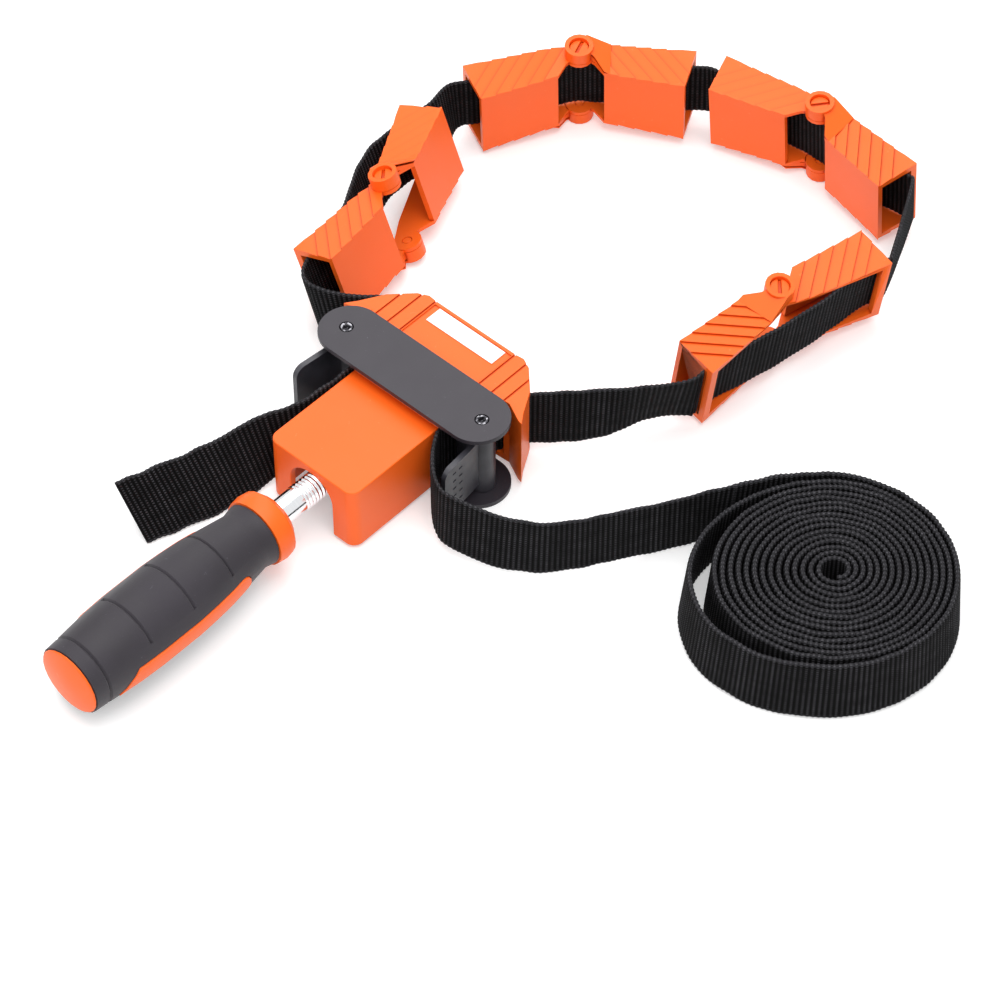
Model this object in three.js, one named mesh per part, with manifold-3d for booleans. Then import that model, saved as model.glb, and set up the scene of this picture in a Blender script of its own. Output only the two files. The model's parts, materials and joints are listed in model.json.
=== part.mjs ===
// Band clamp: a long webbing strap runs from a screw tensioner round four hinged corner jaws and
// back, and the webbing left over lies beside it as a flat coil. Two cam levers hold the webbing
// at the tensioner, and a screw with a grip handle pushes the pressure head towards the work.
// Millimetres, +Z up, +X along the spindle towards the work, +Y to the left. The origin is on the
// bottom plate's underside, midway between the two lever pivots.
import * as THREE from "three";
import { mergeVertices } from "three/addons/utils/BufferGeometryUtils.js";
import Module from "manifold-3d";

const wasm = await Module();
wasm.setup();

// Webbing
const strapWidth = 25;
const strapThickness = 1.7;
const strapJoint = 0.3;

// Clearances and the overrun of cutting tools
const seatGap = 0.3;
const runningGap = 0.4;
const cutOverrun = 2;
const weldDistance = 0.0003;

// Rear housing, open at its bottom, with a slot in its back wall
const housingRear = -50.5;
const housingFront = 2;
const housingHalfWidth = 19.7;
const housingTop = 28.1;
const housingBottom = 1.2;
const housingWall = 2.6;
const housingCorner = 4;
const saddleRear = -8.6;
const rearSlotHalfWidth = 9.7;
const rearSlotCentreHeight = 15.4;

// Cam levers: a hub, a toothed lobe, and a thin paddle with rows of dents for the fingers
const hubRadius = 4.6;
const lobeReach = 9.5;
const toothDepth = 0.5;
const paddleHeight = 21.8;
const paddleLength = 22.6;
const paddleThickness = 2;
const paddleCorner = 4;
const dentLength = 1.7;
const dentWidth = 0.8;
const dentDepth = 0.5;
const dentSpacing = 3.7;
const dentRows = 5;

// Plates and lever pivots
const plateThickness = 1.8;
const plateGap = 30.6;
const plateHalfWidth = 11.4;
const pivotSetback = 2;
const pivotRadius = 2.2;
const socketAcrossFlats = 2.5;
const socketDepth = 2;

// Spindle, its nut and its seat in the pressure head
const threadRadius = 5.2;
const threadDepth = 0.6;
const threadPitch = 1.5;
const threadTurns = 25;
const threadStart = -57;
const spindleNeckRadius = 4.95;
const spindleFootRadius = 3;
const spindleFoot = 17.6;
const spindleTang = 12;
const nutRear = -34;
const nutLength = 12;
const nutHalfWidth = 8.5;
const clipRadius = 6.6;
const clipThickness = 1.2;
const clipPlace = 13;
const cupRadius = 6;
const cupThickness = 1.6;

// Handle
const collarFront = -68;
const collarLength = 9.3;
const collarRadius = 13.1;
const coreRadius = 9.4;
const gripRadius = 14.85;
const gripRear = -161;
const gripGroove = 0.7;
const gripRoll = 9;
const gripArc = 52;
const gripWindowHalfWidth = 4.3;
const gripWindowFront = -91;
const gripWindowRear = -152;
const stripRise = 0.4;
const capLength = 2.4;
const capRadius = 12.4;

// Pressure head
const headFront = 31;
const headFrontHalfWidth = 18.5;
const headRear = 6.5;
const wingOverhang = 10;
const wingTipPlace = 8.8;
const guideRear = -8;
const guidePlay = 0.7;
const strapMouth = 5;
const mouthSetback = 10.5;
const mouthOffset = 0.5;
const ribGrooveWidth = 0.7;
const ribGrooveDepth = 0.6;
const panelDepth = 0.5;
const labelLength = 30.6;
const labelWidth = 7;
const labelThickness = 0.3;
const labelSetback = 1.3;

// Jaws: two equal halves, one turned over, on two short pins
const jawReach = 42.8;
const jawDepth = 16.65;
const jawEndHeight = 30.4;
const jawHingeHeight = 28.4;
const jawWall = 1.8;
const jawRoof = 1.4;
const barWidth = 3.4;
const barDepth = 2.35;
const knuckleRadius = 5.3;
const knuckleReach = 19.2;
const knuckleFlat = 3;
const knuckleRun = 11.6;
const jawPinRadius = 1.7;
const jawPinHeadRadius = 3.4;
const jawPinHead = 1.6;
const jawPinRecess = 1.2;
const screwSlotWidth = 1.2;
const screwSlotDepth = 1;
const jawRibDepth = 0.65;
const jawRibPitch = 5.2;
const jawRibAngle = 35;
const floorGap = 0.2;
const jawCornerShares = {
  flatEnd: [0.2, 0],
  back: [0.27, 0.3],
  outerEnd: [1, 0.105],
  innerEnd: [0.904, -0.895],
  innerHinge: [0.215, -0.523],
  chamferEnd: [0.131, -0.228],
};

// The loop: its reach and half width grow with the jaws, so that the jaws never meet. Where the
// four jaws stand are shares of them, with the angles in degrees of the jaw and of its pin's slot
const loopSlack = 20.8;
const loopSideSlack = 2.2;
const loopReach = 4 * jawReach + loopSlack;
const loopHalfWidth = 1.5 * jawReach + loopSideSlack;
const jawPlaceShares = [
  { along: 0.3187, across: 0.9955, turn: 15.5, lean: -16.2, roll: -1.5, bend: -19.8, slot: 42.5 },
  { along: 0.8177, across: 0.9744, turn: -44, lean: 6.6, roll: -1.6, bend: 6, slot: 19 },
  { along: 1.0078, across: -0.2982, turn: -87.6, lean: 6.7, roll: 0.4, bend: 1.9, slot: -42 },
  { along: 0.587, across: -0.9789, turn: 170.6, lean: -8.9, roll: 1.3, bend: -15.8, slot: 42.5 },
];

// Coil of spare webbing: a spiral with its loops slack on one side, the first one most
const coilPitch = 2.42;
const coilTurns = 15.6;
const coilRadius = 41.4;
const coilStart = 82;
const coilLooseness = 10.2;
const coilSlack = 4.4;
const coilSlackPlaceShare = 0.825;
const coilSlackWidthShare = 0.15;
const coilRunIn = 7;
const coilRunInShare = 0.06;
const coilLeanShare = 0.08;
const coilSteps = 20;
const coilPlace = [45.5, -134.6];

// Places worked out from the sizes above
const bodyHeight = plateGap + 2 * plateThickness;
const midHeight = bodyHeight / 2;
const gapFloor = plateThickness + seatGap;
const gapCeiling = plateThickness + plateGap - seatGap;
const strapLine = housingHalfWidth + seatGap + strapThickness / 2;
const pivotSpread = strapLine + strapThickness / 2 + seatGap + lobeReach;
const plateEndCentre = pivotSpread - pivotSetback;
const guideHalfWidth = housingHalfWidth - housingWall - guidePlay;
const wingTip = pivotSpread + wingOverhang;
const gripFront = collarFront - collarLength - seatGap;
const camExit = -9;
const fine = 24;
const coarse = 16;

const orange = new THREE.MeshStandardMaterial({ color: "#ff7a3f", roughness: 0.42, metalness: 0 });
const plateGrey = new THREE.MeshStandardMaterial({ color: "#5b5864", roughness: 0.5, metalness: 0.6 });
const leverGrey = new THREE.MeshStandardMaterial({ color: "#4c4a55", roughness: 0.55, metalness: 0.2 });
const gripGrey = new THREE.MeshStandardMaterial({ color: "#4a4650", roughness: 0.7, metalness: 0 });
const chrome = new THREE.MeshStandardMaterial({ color: "#d4d6d9", roughness: 0.18, metalness: 1 });
const steel = new THREE.MeshStandardMaterial({ color: "#8f9297", roughness: 0.35, metalness: 0.9 });
const paper = new THREE.MeshStandardMaterial({ color: "#fbfcfb", roughness: 0.6, metalness: 0 });
const webbing = new THREE.MeshStandardMaterial({ color: "#1d1d1f", roughness: 0.9, metalness: 0 });

const group = new THREE.Group();

function radians(degrees) {
  return THREE.MathUtils.degToRad(degrees);
}

// A closed mesh as a solid for joining and cutting
function solid(geometry) {
  const plain = geometry.index ? geometry.clone() : geometry;
  plain.deleteAttribute("normal");
  plain.deleteAttribute("uv");
  const merged = mergeVertices(plain, weldDistance);
  return new wasm.Manifold(new wasm.Mesh({
    numProp: 3,
    vertProperties: new Float32Array(merged.attributes.position.array),
    triVerts: new Uint32Array(merged.index.array),
  }));
}

function geometryOf(body) {
  const mesh = body.getMesh();
  const geometry = new THREE.BufferGeometry();
  geometry.setAttribute("position", new THREE.BufferAttribute(new Float32Array(mesh.vertProperties), 3));
  geometry.setIndex(new THREE.BufferAttribute(new Uint32Array(mesh.triVerts), 1));
  return geometry;
}

function extruded(outline, depth, steps) {
  const isShape = outline instanceof THREE.Shape;
  const shape = isShape ? outline : new THREE.Shape(outline.map(([x, y]) => new THREE.Vector2(x, y)));
  return new THREE.ExtrudeGeometry(shape, { depth, bevelEnabled: false, curveSegments: steps });
}

// A prism standing on an outline in the XY plane, from one height to another
function prism(outline, from, to, steps = coarse) {
  return solid(extruded(outline, to - from, steps).translate(0, 0, from));
}

// A prism whose outline lies in the XZ plane, from one Y to another
function sidePrism(outline, from, to, steps = coarse) {
  return solid(extruded(outline, to - from, steps).rotateX(Math.PI / 2).translate(0, to, 0));
}

// A prism whose outline lies in the YZ plane, from one X to another
function endPrism(outline, from, to, steps = coarse) {
  const geometry = extruded(outline, to - from, steps).rotateX(Math.PI / 2).rotateZ(Math.PI / 2);
  return solid(geometry.translate(from, 0, 0));
}

function box(x0, x1, y0, y1, z0, z1) {
  const geometry = new THREE.BoxGeometry(x1 - x0, y1 - y0, z1 - z0);
  return solid(geometry.translate((x0 + x1) / 2, (y0 + y1) / 2, (z0 + z1) / 2));
}

function upright(radius, from, to, x = 0, y = 0, sides = fine) {
  const geometry = new THREE.CylinderGeometry(radius, radius, to - from, sides).rotateX(Math.PI / 2);
  return solid(geometry.translate(x, y, (from + to) / 2));
}

// A body turned about the spindle's axis, from a profile of [place along X, radius]
function turned(profile, sides = fine) {
  const points = profile.map(([x, radius]) => new THREE.Vector2(radius, x));
  if (THREE.ShapeUtils.area(points) < 0) points.reverse();
  const geometry = new THREE.LatheGeometry(points, sides).rotateZ(-Math.PI / 2);
  return solid(geometry.translate(0, 0, midHeight));
}

// A round rod along the spindle's axis
function rod(radius, from, to) {
  return turned([[from, 0], [from, radius], [to, radius], [to, 0]]);
}

function add(name, shape, material, parent = group) {
  const geometry = shape instanceof THREE.BufferGeometry ? shape : geometryOf(shape);
  const mesh = new THREE.Mesh(geometry, material);
  mesh.name = name;
  parent.add(mesh);
  return mesh;
}

function roundedRectangle(x0, x1, y0, y1, radius) {
  const shape = new THREE.Shape();
  shape.moveTo(x0 + radius, y0);
  shape.lineTo(x1 - radius, y0);
  shape.absarc(x1 - radius, y0 + radius, radius, -Math.PI / 2, 0);
  shape.lineTo(x1, y1 - radius);
  shape.absarc(x1 - radius, y1 - radius, radius, 0, Math.PI / 2);
  shape.lineTo(x0 + radius, y1);
  shape.absarc(x0 + radius, y1 - radius, radius, Math.PI / 2, Math.PI);
  shape.lineTo(x0, y0 + radius);
  shape.absarc(x0 + radius, y0 + radius, radius, Math.PI, Math.PI * 1.5);
  return shape;
}

// Top and bottom plates: round-ended strips across the body, joined by the two pivot pins
function plate(from) {
  const shape = new THREE.Shape();
  shape.absarc(0, plateEndCentre, plateHalfWidth, 0, Math.PI);
  shape.absarc(0, -plateEndCentre, plateHalfWidth, Math.PI, Math.PI * 2);
  let body = prism(shape, from, from + plateThickness, fine / 2);
  for (const side of [1, -1]) {
    const top = from + plateThickness + cutOverrun;
    body = body.subtract(upright(pivotRadius + seatGap, from - cutOverrun, top, 0, side * pivotSpread));
  }
  return body;
}

function pivotPin(side) {
  const pin = upright(pivotRadius, 0, bodyHeight, 0, side * pivotSpread);
  const socketRadius = socketAcrossFlats / Math.sqrt(3);
  const floor = bodyHeight - socketDepth;
  return pin.subtract(upright(socketRadius, floor, bodyHeight + cutOverrun, 0, side * pivotSpread, 6));
}

// Housing: a shell round the spindle's nut, with a saddle that the plates hold between them
function rearHousing() {
  const half = housingHalfWidth;
  const outline = roundedRectangle(housingRear, housingFront, -half, half, housingCorner);
  const innerHalf = half - housingWall;
  const innerFront = housingFront + housingCorner + cutOverrun;
  const innerCorner = housingCorner - housingWall / 2;
  const inner = roundedRectangle(housingRear + housingWall, innerFront, -innerHalf, innerHalf, innerCorner);
  const saddle = box(saddleRear, housingFront, -half, half, gapFloor, gapCeiling);
  const plateRelief = box(-plateHalfWidth - seatGap, housingFront + cutOverrun,
    -2 * half, 2 * half, housingBottom - cutOverrun, gapFloor);
  let body = prism(outline, housingBottom, housingTop).subtract(plateRelief).add(saddle);
  body = body.subtract(prism(inner, housingBottom - cutOverrun, housingTop - housingWall));
  const slot = new THREE.Shape();
  slot.moveTo(-rearSlotHalfWidth, housingBottom - cutOverrun);
  slot.lineTo(rearSlotHalfWidth, housingBottom - cutOverrun);
  slot.lineTo(rearSlotHalfWidth, rearSlotCentreHeight);
  slot.absarc(0, rearSlotCentreHeight, rearSlotHalfWidth, 0, Math.PI);
  return body.subtract(endPrism(slot, housingRear - cutOverrun, housingRear + housingWall + cutOverrun));
}

function spindleNut() {
  const halfInner = housingHalfWidth - housingWall - seatGap;
  const roof = housingTop - housingWall - seatGap;
  const front = nutRear + nutLength;
  const block = box(nutRear, front, -nutHalfWidth, nutHalfWidth, midHeight - nutHalfWidth, roof);
  const flange = box(nutRear, nutRear + housingWall, -halfInner, halfInner, midHeight, roof);
  return block.add(flange).subtract(rod(threadRadius + seatGap, nutRear - cutOverrun, front + cutOverrun));
}

// Spindle: plain neck in the handle, screw thread, and a foot that turns in the pressure head
function spindle() {
  const rear = collarFront - spindleTang;
  const profile = [[rear, 0], [rear, spindleNeckRadius], [threadStart, spindleNeckRadius]];
  for (let turn = 0; turn < threadTurns; turn += 1) {
    const root = threadStart + turn * threadPitch;
    profile.push([root, threadRadius - threadDepth], [root + threadPitch / 2, threadRadius]);
  }
  const threadEnd = threadStart + threadTurns * threadPitch;
  profile.push([threadEnd, threadRadius - threadDepth], [threadEnd + threadPitch, threadRadius]);
  profile.push([guideRear + threadPitch, threadRadius], [guideRear + threadPitch, spindleFootRadius]);
  profile.push([spindleFoot, spindleFootRadius], [spindleFoot, 0]);
  return turned(profile, coarse);
}

function retainingClip() {
  return turned([[clipPlace, spindleFootRadius + seatGap], [clipPlace, clipRadius],
    [clipPlace + clipThickness, clipRadius], [clipPlace + clipThickness, spindleFootRadius + seatGap],
    [clipPlace, spindleFootRadius + seatGap]]);
}

function thrustCup() {
  return rod(cupRadius, spindleFoot + seatGap, spindleFoot + seatGap + cupThickness);
}

// Handle: an orange core with its collar, a dark soft grip with a window on each side, and a cap
const collarShares = [[0, 0.725], [0.27, 0.962], [0.59, 1], [1, 0.962]];
const gripShares = [
  [0, 0.801], [0.053, 0.741], [0.161, 0.835], [0.269, 0.923], [0.365, 0.97], [0.46, 1], [0.664, 1],
  [0.772, 0.976], [0.868, 0.929], [0.952, 0.882], [1, 0.862],
];
const capShares = [[0, 1], [0.25, 0.98], [0.5, 0.81], [0.85, 0.45], [1, 0]];

// The pieces on the sides of the grip are rolled a little about the handle's axis
function rolled(body) {
  return body.translate([0, 0, -midHeight]).rotate([gripRoll, 0, 0]).translate([0, 0, midHeight]);
}

// Window for a side strip: blunt in front and cut slantwise at the rear
function sideWindow(grow) {
  const half = gripWindowHalfWidth + grow;
  const front = gripWindowFront + grow;
  const rear = gripWindowRear - grow;
  const shape = new THREE.Shape();
  shape.moveTo(rear, midHeight - half);
  shape.lineTo(front - half, midHeight - half);
  shape.quadraticCurveTo(front, midHeight - half, front, midHeight);
  shape.quadraticCurveTo(front, midHeight + half, front - half, midHeight + half);
  shape.lineTo(rear + 2 * half, midHeight + half);
  return rolled(sidePrism(shape, -2 * gripRadius, 2 * gripRadius, coarse / 4));
}

function gripProfile(rise) {
  const length = gripFront - gripRear;
  return gripShares.map(([along, out]) => [gripFront - length * along, gripRadius * out + rise]);
}

function handleCore() {
  const rear = collarFront - collarLength;
  const collar = collarShares.map(([along, out]) => (
    [collarFront - collarLength * along, collarRadius * out]));
  const core = [[rear, coreRadius], [gripRear, coreRadius], [gripRear, 0]];
  const body = turned([[collarFront, 0], ...collar, ...core]);
  const rise = gripProfile(stripRise).slice(1, -1);
  const raised = turned([[rise[0][0], 0], ...rise, [rise[rise.length - 1][0], 0]]);
  const wellEnd = collarFront - spindleTang - seatGap;
  const well = rod(spindleNeckRadius + seatGap, wellEnd, collarFront + cutOverrun);
  return body.add(raised.intersect(sideWindow(-seatGap))).subtract(well);
}

// Grooves across the top and the bottom of the grip, and one right round near its end
function handleGrip() {
  const outer = gripProfile(0);
  const inner = coreRadius + seatGap;
  const body = turned([[gripFront, inner], ...outer, [gripRear, inner], [gripFront, inner]]);
  const arcShares = [0.25, 0.473, 0.706];
  const ringShare = 0.935;
  const ringAt = (share) => {
    const place = gripFront + (gripRear - gripFront) * share;
    const after = outer.findIndex(([x]) => x <= place);
    const [[x0, r0], [x1, r1]] = [outer[after - 1], outer[after]];
    const surface = r0 + ((r1 - r0) * (place - x0)) / (x1 - x0);
    const [rear, front, outside] = [place - gripGroove, place + gripGroove, surface + cutOverrun];
    return turned([[rear, outside], [rear, surface], [place, surface - gripGroove], [front, surface],
      [front, outside], [rear, outside]]);
  };
  const reach = 2 * gripRadius;
  const drop = reach / Math.tan(radians(gripArc));
  const bow = [[0, 0], [-reach, -drop], [-reach, drop], [0, 0], [reach, drop], [reach, -drop]];
  const sides = [bow.slice(0, 3), bow.slice(3)].map((corners) => (
    rolled(endPrism(corners.map(([y, z]) => [y, midHeight + z]).reverse(), gripRear, gripFront))));
  let cut = body.subtract(ringAt(ringShare));
  for (const share of arcShares) {
    cut = cut.subtract(ringAt(share).subtract(sides[0]).subtract(sides[1]));
  }
  return cut.subtract(sideWindow(0));
}

function handleCap() {
  const front = gripRear - seatGap;
  const dome = capShares.map(([along, out]) => [front - capLength * along, capRadius * out]);
  return turned([[front, 0], ...dome]);
}

// Pressure head: a flat front with swept wings, windows that let the webbing out, and a guide
// block that slides in the housing
function channelLine() {
  const inside = new THREE.Vector2(housingFront, strapLine);
  const outside = new THREE.Vector2(headFront - mouthSetback, pivotSpread - mouthOffset);
  return { inside, outside };
}

function pressureHead() {
  const wingShares = [[1, 0], [1, 0.446], [1.012, 0.53], [0.95, 0.627], [0.705, 0.807], [0.42, 0.928]];
  const rearShares = [[0.3, 0.95], [0.415, 0.776], [0.4, 0.6]];
  const half = wingShares.map(([x, y]) => [x * headFront, y * wingTip]);
  half.push([wingTipPlace, wingTip]);
  half.push(...rearShares.map(([x, y]) => [x * headFront, y * wingTip]));
  half.push([headRear, headFrontHalfWidth]);
  const mirrored = half.slice(1).map(([x, y]) => [x, -y]).reverse();
  let body = prism([...half, ...mirrored], gapFloor, gapCeiling);
  const guide = box(guideRear, headRear + cutOverrun, -guideHalfWidth, guideHalfWidth,
    gapFloor + runningGap, housingTop - housingWall - runningGap);
  body = body.add(guide);
  const { inside, outside } = channelLine();
  const run = outside.clone().sub(inside);
  for (const side of [1, -1]) {
    const slot = new THREE.BoxGeometry(run.length() * 2, strapMouth, strapWidth + 2 * seatGap);
    slot.rotateZ(side * run.angle()).translate(outside.x, side * outside.y, midHeight);
    body = body.subtract(solid(slot));
  }
  const shoulder = clipPlace - clipThickness;
  const wellEnd = spindleFoot + 2 * seatGap + cupThickness;
  body = body.subtract(rod(threadRadius + runningGap, guideRear - cutOverrun, shoulder + seatGap));
  body = body.subtract(rod(clipRadius + runningGap, shoulder, wellEnd));
  const panelHalf = headFrontHalfWidth - ribGrooveWidth;
  const panel = box(headRear - cutOverrun, headFront - labelSetback, -panelHalf, panelHalf,
    gapCeiling - panelDepth, gapCeiling + cutOverrun);
  body = body.subtract(panel);
  const grooveShares = [0.446, 0.585, 0.72];
  for (const share of grooveShares) {
    for (const side of [1, -1]) {
      const y = side * share * wingTip;
      const groove = box(headRear, headFront + cutOverrun, y - ribGrooveWidth / 2, y + ribGrooveWidth / 2,
        gapCeiling - ribGrooveDepth, gapCeiling + cutOverrun);
      body = body.subtract(groove);
    }
  }
  return body;
}

function label() {
  const floor = gapCeiling - panelDepth + seatGap / 3;
  const front = headFront - labelSetback - seatGap;
  return box(front - labelWidth, front, -labelLength / 2, labelLength / 2, floor, floor + labelThickness);
}

// Cam lever, drawn for the right side: hub, toothed lobe towards the housing, paddle to the rear
function camLever(side) {
  const toothShares = [
    [118, 0.9], [112, 0.98], [108, 0.93], [102, 1], [98, 0.945], [92, 1], [88, 0.93], [80, 0.95], [62, 0.72],
  ];
  const lobe = toothShares.map(([angle, share]) => {
    const inStrap = (lobeReach - (1 - share) * toothDepth) / Math.sin(radians(angle));
    const reach = Math.min(lobeReach * share, inStrap);
    return [reach * Math.cos(radians(angle)), reach * Math.sin(radians(angle))];
  });
  const cam = [...lobe.reverse(), [-hubRadius, 0], [0, -hubRadius], [hubRadius, 0]];
  let body = upright(hubRadius, gapFloor, gapCeiling).add(prism(cam.reverse(), gapFloor, gapCeiling));
  const faceShares = [[0.171, 1.085], [0.387, 1.5], [0.874, 2], [1, 2.05]];
  const innerShares = [[1, 1.15], [0.874, 1], [0.387, 0.5], [0.25, -0.25], [0.168, -1], [0.08, -1]];
  const corner = ([along, out]) => [-paddleLength * along, -paddleThickness * out];
  const plan = [[0, 0], ...innerShares.map(corner).reverse(), ...faceShares.map(corner).reverse()];
  const low = midHeight - paddleHeight / 2;
  const sideView = roundedRectangle(-paddleLength, paddleLength, low, low + paddleHeight, paddleCorner);
  const paddle = prism(plan, gapFloor, gapCeiling);
  body = body.add(paddle.intersect(sidePrism(sideView, -lobeReach, lobeReach, coarse / 4)));
  const dentShares = [[0.782, 1.905], [0.634, 1.754]];
  for (const share of dentShares) {
    const [x, face] = corner(share);
    for (let row = 0; row < dentRows; row += 1) {
      const z = midHeight + (row - (dentRows - 1) / 2) * dentSpacing;
      body = body.subtract(box(x - dentLength / 2, x + dentLength / 2, face - cutOverrun, face + dentDepth,
        z - dentWidth / 2, z + dentWidth / 2));
    }
  }
  body = body.subtract(upright(pivotRadius + seatGap, 0, bodyHeight));
  const placed = side < 0 ? body : body.mirror([0, 1, 0]);
  return placed.translate([0, side * pivotSpread, 0]);
}

// One jaw half about its hinge: X runs from the hinge to the end, -Y faces the work, and the
// raised knuckle is on top. Height zero is the jaw's middle.
function jawCorner(name) {
  const [along, across] = jawCornerShares[name];
  return [jawReach * along, jawDepth * across];
}

function jawPlan() {
  const corners = ["chamferEnd", "innerHinge", "innerEnd", "outerEnd", "back"].map(jawCorner);
  return [[0, 0], ...corners, [0, knuckleRadius - seatGap]];
}

// A crease across the roof: the surface rises slowly to it and drops off behind it
function jawCrease(place, slope, height) {
  const pitch = jawRibPitch * Math.cos(radians(jawRibAngle));
  const section = [[0, -jawRibDepth], [pitch, 0], [pitch, seatGap], [0, seatGap]];
  const wedge = sidePrism(section, -2 * jawDepth, 2 * jawDepth).rotate([0, 0, jawRibAngle]);
  return wedge.rotate([0, -slope, 0]).translate([place, -jawDepth / 3, height]);
}

function jawHalf() {
  const [flatEnd] = jawCorner("flatEnd");
  const outerEnd = jawCorner("outerEnd");
  const innerEnd = jawCorner("innerEnd");
  const innerHinge = jawCorner("innerHinge");
  const endHalf = jawEndHeight / 2;
  const hingeHalf = jawHingeHeight / 2;
  const cavityHalf = hingeHalf - jawRoof;
  const far = jawReach + cutOverrun;
  const above = endHalf + cutOverrun;
  let body = prism(jawPlan(), -endHalf, endHalf);
  const rise = endHalf - hingeHalf;
  const slope = THREE.MathUtils.radToDeg(Math.atan2(rise, jawReach - flatEnd));
  const surface = (x) => hingeHalf + (rise * (x - flatEnd)) / (jawReach - flatEnd);
  const sky = [[0, hingeHalf], [flatEnd, hingeHalf], [far, surface(far)], [far, above], [0, above]];
  const over = sidePrism(sky, -2 * jawDepth, 2 * jawDepth);
  body = body.subtract(over).subtract(over.mirror([0, 0, 1]));
  const along = new THREE.Vector2(innerHinge[0] - innerEnd[0], innerHinge[1] - innerEnd[1]).normalize();
  const inward = new THREE.Vector2(along.y, -along.x).multiplyScalar(jawWall);
  const barInner = outerEnd[1] - barDepth;
  const cavity = [
    [-jawDepth, jawDepth], [jawReach - barWidth, jawDepth], [jawReach - barWidth, barInner], [far, barInner],
    [far, innerEnd[1] + inward.y + jawWall / 2], [innerEnd[0] + inward.x, innerEnd[1] + inward.y],
    [innerHinge[0] + inward.x, innerHinge[1] + inward.y], [innerHinge[0], innerHinge[1] - jawWall],
    [innerHinge[0], -jawDepth], [-jawDepth, -jawDepth],
  ];
  body = body.subtract(prism(cavity.reverse(), -cavityHalf, cavityHalf));
  for (let x = knuckleRun; x < jawReach; x += jawRibPitch) {
    const crease = jawCrease(x, slope, surface(x));
    body = body.subtract(crease).subtract(crease.mirror([0, 0, 1]));
  }
  const knuckle = (radius, from, to) => upright(radius, from, to, 0, 0, coarse);
  body = body.subtract(knuckle(knuckleRadius + runningGap, cavityHalf - jawRoof / 3, above));
  body = body.add(knuckle(knuckleRadius, -hingeHalf, -cavityHalf));
  const ringBase = hingeHalf + seatGap;
  const step = knuckleRadius + runningGap + seatGap;
  const webBase = hingeHalf - (jawRoof + jawRibDepth) / 3;
  const ramp = [[0, ringBase], [step, ringBase], [step, webBase], [knuckleRun, webBase],
    [knuckleRun, hingeHalf], [knuckleFlat, knuckleReach], [0, knuckleReach]];
  const webSlope = -THREE.MathUtils.radToDeg(Math.atan2(knuckleReach - hingeHalf, knuckleRun - knuckleFlat));
  const block = prism(jawPlan(), hingeHalf - jawRoof, knuckleReach);
  const web = sidePrism(ramp, -jawDepth, jawDepth).intersect(block);
  body = body.add(web.subtract(jawCrease(step, webSlope, (hingeHalf + knuckleReach) / 2)));
  body = body.add(knuckle(knuckleRadius, ringBase, knuckleReach));
  const headSeat = knuckleReach - jawPinRecess - jawPinHead - seatGap;
  body = body.subtract(knuckle(jawPinHeadRadius + seatGap, headSeat, knuckleReach + cutOverrun));
  const bore = upright(jawPinRadius + seatGap, -endHalf - cutOverrun, knuckleReach, 0, 0, coarse / 2);
  return body.subtract(bore);
}

function jawPin() {
  const top = knuckleReach - jawPinRecess;
  const shank = upright(jawPinRadius, jawHingeHeight / 2 - jawRoof, top - jawPinHead / 2, 0, 0, coarse / 2);
  const head = upright(jawPinHeadRadius, top - jawPinHead, top, 0, 0, coarse);
  const reach = jawPinHeadRadius + cutOverrun;
  const half = screwSlotWidth / 2;
  const slot = box(-reach, reach, -half, half, top - screwSlotDepth, top + cutOverrun);
  return shank.add(head).subtract(slot);
}

// Webbing lengths: a flat band swept through stations of place, width direction and run direction
function ribbon(stations) {
  const positions = [];
  for (const { at, up, along } of stations) {
    const side = new THREE.Vector3().crossVectors(up, along).normalize().multiplyScalar(strapThickness / 2);
    const rise = up.clone().normalize().multiplyScalar(strapWidth / 2);
    for (const [s, r] of [[-1, -1], [1, -1], [1, 1], [-1, 1]]) {
      positions.push(...at.clone().addScaledVector(side, s).addScaledVector(rise, r).toArray());
    }
  }
  const index = [0, 2, 1, 0, 3, 2];
  for (let ring = 0; ring + 1 < stations.length; ring += 1) {
    for (let corner = 0; corner < 4; corner += 1) {
      const a = ring * 4 + corner;
      const b = ring * 4 + ((corner + 1) % 4);
      index.push(a, b, a + 4, b, b + 4, a + 4);
    }
  }
  const last = (stations.length - 1) * 4;
  index.push(last, last + 1, last + 2, last, last + 2, last + 3);
  const geometry = new THREE.BufferGeometry();
  geometry.setAttribute("position", new THREE.BufferAttribute(new Float32Array(positions), 3));
  geometry.setIndex(index);
  return geometry;
}

// Stations at even steps of a smooth curve through the points, with the width direction blended
function stationsAlong(points, ups, steps, from = 0, to = 1) {
  const curve = new THREE.CatmullRomCurve3(points, false, "centripetal");
  const stations = [];
  for (let step = 0; step <= steps; step += 1) {
    const t = from + ((to - from) * step) / steps;
    const place = t * (ups.length - 1);
    const low = Math.min(Math.floor(place), ups.length - 2);
    const up = ups[low].clone().lerp(ups[low + 1], place - low).normalize();
    stations.push({ at: curve.getPoint(t), up, along: curve.getTangent(t) });
  }
  return stations;
}

// A smooth free length from one station to another, a joint's width short at each end
function bridge(from, to, steps, pull) {
  const start = from.at.clone().addScaledVector(from.along, strapJoint);
  const end = to.at.clone().addScaledVector(to.along, -strapJoint);
  const reach = start.distanceTo(end) * pull;
  const stations = [];
  for (let step = 0; step <= steps; step += 1) {
    const t = step / steps;
    const c = 1 - t;
    const at = start.clone().multiplyScalar(c * c * (1 + 2 * t))
      .addScaledVector(end, t * t * (3 - 2 * t))
      .addScaledVector(from.along, reach * t * c * c)
      .addScaledVector(to.along, -reach * t * t * c);
    const along = start.clone().multiplyScalar(-6 * t * c)
      .addScaledVector(end, 6 * t * c)
      .addScaledVector(from.along, reach * c * (1 - 3 * t))
      .addScaledVector(to.along, reach * t * (3 * t - 2))
      .normalize();
    stations.push({ at, up: from.up.clone().lerp(to.up, t).normalize(), along });
  }
  return stations;
}

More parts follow.
